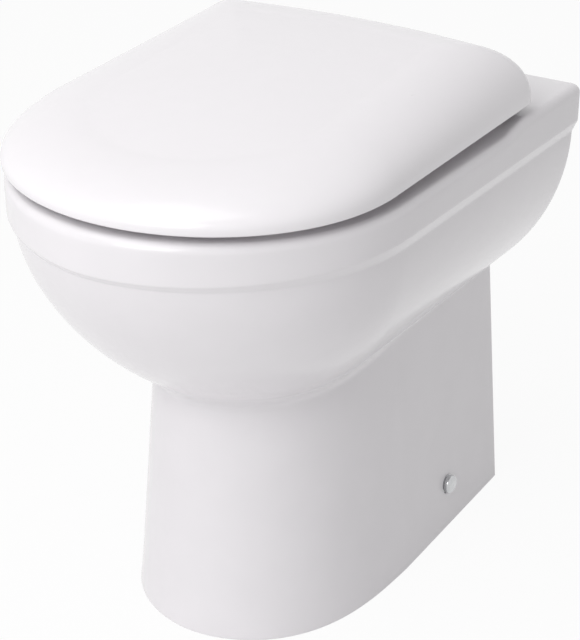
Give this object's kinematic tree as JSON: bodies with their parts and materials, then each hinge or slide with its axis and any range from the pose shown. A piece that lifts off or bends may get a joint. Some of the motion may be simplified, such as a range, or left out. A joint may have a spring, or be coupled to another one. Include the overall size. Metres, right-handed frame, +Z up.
{
  "type": "back to wall toilet",
  "caption": "Floor-standing back to wall toilet pan in white china with a wrap-over soft-close seat and lid.",
  "frame": {"origin": "centre of the object's footprint on the floor", "axes": "+Z up, +Y towards the wall, +X to the right of someone facing the pan's front"},
  "size_m": [0.366, 0.515, 0.5146],
  "materials": {
    "vitreous_china": "gloss",
    "seat_plastic": "gloss",
    "chrome": "polished",
    "stainless_steel": "satin",
    "zinc_steel": "satin",
    "rubber": "matte",
    "buffer_rubber": "matte",
    "nylon": "satin",
    "damper_plastic": "satin"
  },
  "bodies": {
    "pan": {"pan": "vitreous_china", "hinge_post_right": "chrome", "hinge_pin_right": "stainless_steel", "hinge_gasket_right": "rubber", "seat_bolt_right": "zinc_steel", "seat_washer_right": "zinc_steel", "seat_sleeve_right": "rubber", "floor_bracket_right": "zinc_steel", "side_screw_right": "zinc_steel", "side_sleeve_right": "nylon", "side_cap_right": "chrome", "hinge_post_left": "chrome", "hinge_pin_left": "stainless_steel", "hinge_gasket_left": "rubber", "seat_bolt_left": "zinc_steel", "seat_washer_left": "zinc_steel", "seat_sleeve_left": "rubber", "floor_bracket_left": "zinc_steel", "side_screw_left": "zinc_steel", "side_sleeve_left": "nylon", "side_cap_left": "chrome"},
    "seat_ring": {"seat_ring": "seat_plastic", "ring_damper": "damper_plastic", "ring_bush": "damper_plastic", "ring_buffer_front_right": "buffer_rubber", "ring_buffer_front_left": "buffer_rubber", "ring_buffer_rear_right": "buffer_rubber", "ring_buffer_rear_left": "buffer_rubber"},
    "lid": {"lid": "seat_plastic", "lid_damper": "damper_plastic", "lid_bush_right": "damper_plastic", "lid_bush_left": "damper_plastic", "lid_buffer_front_right": "buffer_rubber", "lid_buffer_front_left": "buffer_rubber", "lid_buffer_rear_right": "buffer_rubber", "lid_buffer_rear_left": "buffer_rubber"}
  },
  "joints": [
    {"name": "ring_hinge", "type": "hinge", "parent": "pan", "child": "seat_ring", "pos_m": [0, 0.168, 0.485], "axis": [-1, 0, 0], "range_deg": [0, 92]},
    {"name": "lid_hinge", "type": "hinge", "parent": "seat_ring", "child": "lid", "pos_m": [0, 0.168, 0.485], "axis": [-1, 0, 0], "range_deg": [0, 93]}
  ]
}
